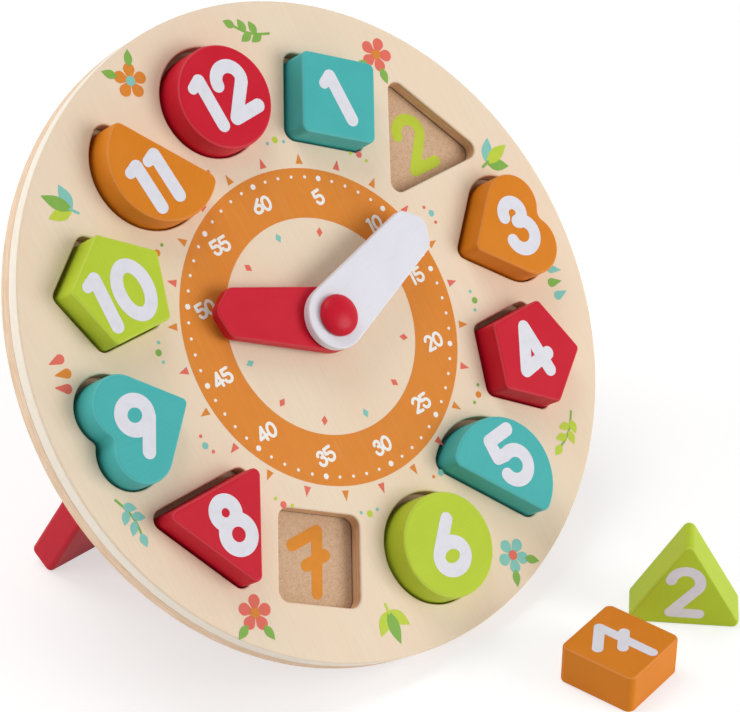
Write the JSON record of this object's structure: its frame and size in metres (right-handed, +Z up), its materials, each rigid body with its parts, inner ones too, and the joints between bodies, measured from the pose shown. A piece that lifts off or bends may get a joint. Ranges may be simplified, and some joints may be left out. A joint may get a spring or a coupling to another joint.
{
  "type": "clock puzzle",
  "caption": "Round wooden clock board leaning on a rear panel, with numbered shape blocks in fitted pockets and two turning hands.",
  "frame": {"origin": "on the table, under the middle of the whole part's plan, which takes in the two loose blocks in front", "axes": "+Z up from the table, -Y the way the clock face looks, +X to the right of someone facing the clock (three o'clock)"},
  "size_m": [0.2898, 0.2758, 0.2279],
  "materials": {
    "face_plywood": "clear satin lacquer over pale plywood",
    "back_fibreboard": "bare pressed fibreboard, fine speckle",
    "red_paint": "satin paint on wood",
    "teal_paint": "satin paint on wood",
    "lime_paint": "satin paint on wood",
    "orange_paint": "satin paint on wood",
    "white_paint": "satin paint on wood",
    "beech": "bare sanded beech"
  },
  "bodies": {
    "board": {"front_board": "face_plywood", "back_board": "back_fibreboard", "hand_spacer": "beech", "centre_pin": "red_paint"},
    "hour_hand": {"hour_hand": "red_paint"},
    "minute_hand": {"minute_hand": "white_paint"},
    "stand": {"stand_panel": "red_paint", "stand_dowel_left": "beech", "stand_dowel_right": "beech"},
    "block_1": {"block_1_square": "teal_paint"},
    "block_2": {"block_2_triangle": "lime_paint"},
    "block_3": {"block_3_heart": "orange_paint"},
    "block_4": {"block_4_pentagon": "red_paint"},
    "block_5": {"block_5_dee": "teal_paint"},
    "block_6": {"block_6_circle": "lime_paint"},
    "block_7": {"block_7_square": "orange_paint"},
    "block_8": {"block_8_triangle": "red_paint"},
    "block_9": {"block_9_heart": "teal_paint"},
    "block_10": {"block_10_pentagon": "lime_paint"},
    "block_11": {"block_11_dee": "orange_paint"},
    "block_12": {"block_12_circle": "red_paint"}
  },
  "joints": [
    {"name": "hour_hand_turn", "type": "hinge", "parent": "board", "child": "hour_hand", "pos_m": [0, 0.03395, 0.11938], "axis": [0, 0.7581, -0.6521], "continuous": true},
    {"name": "minute_hand_turn", "type": "hinge", "parent": "board", "child": "minute_hand", "pos_m": [0, 0.03395, 0.11938], "axis": [0, 0.7581, -0.6521], "continuous": true},
    {"name": "stand_pull_off", "type": "slide", "parent": "board", "child": "stand", "axis": [0, 0.7581, -0.6521], "range_m": [0, 0.02]},
    {"name": "block_1_lift", "type": "slide", "parent": "board", "child": "block_1", "axis": [0, -0.7581, 0.6521], "range_m": [0, 0.03]},
    {"name": "block_2_lift", "type": "slide", "parent": "board", "child": "block_2", "axis": [0, 0, 1], "range_m": [0, 0.04]},
    {"name": "block_3_lift", "type": "slide", "parent": "board", "child": "block_3", "axis": [0, -0.7581, 0.6521], "range_m": [0, 0.03]},
    {"name": "block_4_lift", "type": "slide", "parent": "board", "child": "block_4", "axis": [0, -0.7581, 0.6521], "range_m": [0, 0.03]},
    {"name": "block_5_lift", "type": "slide", "parent": "board", "child": "block_5", "axis": [0, -0.7581, 0.6521], "range_m": [0, 0.03]},
    {"name": "block_6_lift", "type": "slide", "parent": "board", "child": "block_6", "axis": [0, -0.7581, 0.6521], "range_m": [0, 0.03]},
    {"name": "block_7_lift", "type": "slide", "parent": "board", "child": "block_7", "axis": [0, 0, 1], "range_m": [0, 0.04]},
    {"name": "block_8_lift", "type": "slide", "parent": "board", "child": "block_8", "axis": [0, -0.7581, 0.6521], "range_m": [0, 0.03]},
    {"name": "block_9_lift", "type": "slide", "parent": "board", "child": "block_9", "axis": [0, -0.7581, 0.6521], "range_m": [0, 0.03]},
    {"name": "block_10_lift", "type": "slide", "parent": "board", "child": "block_10", "axis": [0, -0.7581, 0.6521], "range_m": [0, 0.03]},
    {"name": "block_11_lift", "type": "slide", "parent": "board", "child": "block_11", "axis": [0, -0.7581, 0.6521], "range_m": [0, 0.03]},
    {"name": "block_12_lift", "type": "slide", "parent": "board", "child": "block_12", "axis": [0, -0.7581, 0.6521], "range_m": [0, 0.03]}
  ]
}
